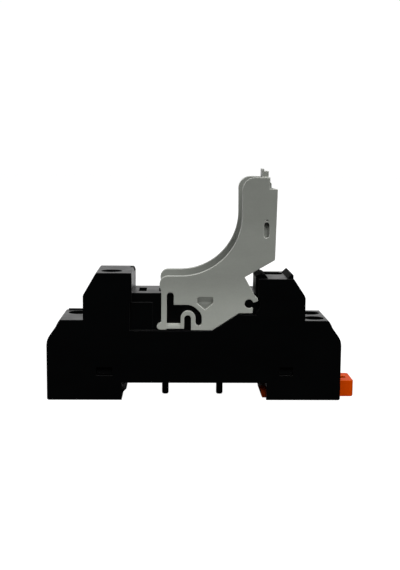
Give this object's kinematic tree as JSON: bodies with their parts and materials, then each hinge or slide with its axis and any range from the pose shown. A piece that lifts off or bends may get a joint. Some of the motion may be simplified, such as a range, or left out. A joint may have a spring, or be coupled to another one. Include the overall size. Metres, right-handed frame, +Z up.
{
  "type": "relay socket",
  "caption": "Slim rail-mounted relay socket with stepped screw terminals, a hinged retaining and ejecting clip and a sprung release slide in its foot.",
  "frame": {"origin": "middle of the bounding box at the level of the feet", "axes": "+X across the rail, towards the release slide's tab; +Y through the socket's thickness, away from the near side; +Z up, away from the rail"},
  "size_m": [0.076, 0.016, 0.0565],
  "materials": {
    "black_plastic": "fine satin moulded, black",
    "grey_plastic": "smooth satin moulded, grey",
    "orange_plastic": "smooth satin moulded, orange",
    "plated_steel": "zinc plated",
    "brass": "plain rolled strip"
  },
  "bodies": {
    "socket": {"housing": "black_plastic", "base": "black_plastic", "slide_spring": "plated_steel", "contact_12": "brass", "contact_11": "brass", "contact_14": "brass", "contact_a1": "brass", "contact_a2": "brass"},
    "clip": {"retaining_clip": "grey_plastic"},
    "slide": {"rail_slide": "orange_plastic"},
    "terminal_screw_12": {"screw_12": "plated_steel"},
    "terminal_clamp_12": {"clamp_12": "plated_steel"},
    "terminal_screw_11": {"screw_11": "plated_steel"},
    "terminal_clamp_11": {"clamp_11": "plated_steel"},
    "terminal_screw_14": {"screw_14": "plated_steel"},
    "terminal_clamp_14": {"clamp_14": "plated_steel"},
    "terminal_screw_a1": {"screw_a1": "plated_steel"},
    "terminal_clamp_a1": {"clamp_a1": "plated_steel"},
    "terminal_screw_a2": {"screw_a2": "plated_steel"},
    "terminal_clamp_a2": {"clamp_a2": "plated_steel"}
  },
  "joints": [
    {"name": "clip_pivot", "type": "hinge", "parent": "socket", "child": "clip", "pos_m": [0.01117, 0, 0.02399], "axis": [0, 1, 0], "range_deg": [0, 24]},
    {"name": "slide_travel", "type": "slide", "parent": "socket", "child": "slide", "axis": [1, 0, 0], "range_m": [0, 0.0025], "stiffness_N_per_m": 1500, "springref_m": -0.0004, "deforming": ["slide_spring"]},
    {"name": "screw_turn_12", "type": "hinge", "parent": "socket", "child": "terminal_screw_12", "pos_m": [-0.02235, -0.0034, 0.02835], "axis": [0, 0, -1], "range_deg": [0, 1440]},
    {"name": "clamp_rise_12", "type": "slide", "parent": "socket", "child": "terminal_clamp_12", "axis": [0, 0, 1], "range_m": [0, 0.002]},
    {"name": "screw_turn_11", "type": "hinge", "parent": "socket", "child": "terminal_screw_11", "pos_m": [-0.03115, 0.0034, 0.01685], "axis": [0, 0, -1], "range_deg": [0, 1440]},
    {"name": "clamp_rise_11", "type": "slide", "parent": "socket", "child": "terminal_clamp_11", "axis": [0, 0, 1], "range_m": [0, 0.002]},
    {"name": "screw_turn_14", "type": "hinge", "parent": "socket", "child": "terminal_screw_14", "pos_m": [0.0181, 0.0038, 0.02705], "axis": [0, 0, -1], "range_deg": [0, 1440]},
    {"name": "clamp_rise_14", "type": "slide", "parent": "socket", "child": "terminal_clamp_14", "axis": [0, 0, 1], "range_m": [0, 0.002]},
    {"name": "screw_turn_a1", "type": "hinge", "parent": "socket", "child": "terminal_screw_a1", "pos_m": [0.02755, -0.0038, 0.01685], "axis": [0, 0, -1], "range_deg": [0, 1440]},
    {"name": "clamp_rise_a1", "type": "slide", "parent": "socket", "child": "terminal_clamp_a1", "axis": [0, 0, 1], "range_m": [0, 0.002]},
    {"name": "screw_turn_a2", "type": "hinge", "parent": "socket", "child": "terminal_screw_a2", "pos_m": [0.02755, 0.0038, 0.01685], "axis": [0, 0, -1], "range_deg": [0, 1440]},
    {"name": "clamp_rise_a2", "type": "slide", "parent": "socket", "child": "terminal_clamp_a2", "axis": [0, 0, 1], "range_m": [0, 0.002]}
  ],
  "couplings": [
    {"joint": "screw_turn_12", "follows": "clamp_rise_12", "rad_per_m": 12566},
    {"joint": "screw_turn_11", "follows": "clamp_rise_11", "rad_per_m": 12566},
    {"joint": "screw_turn_14", "follows": "clamp_rise_14", "rad_per_m": 12566},
    {"joint": "screw_turn_a1", "follows": "clamp_rise_a1", "rad_per_m": 12566},
    {"joint": "screw_turn_a2", "follows": "clamp_rise_a2", "rad_per_m": 12566}
  ]
}
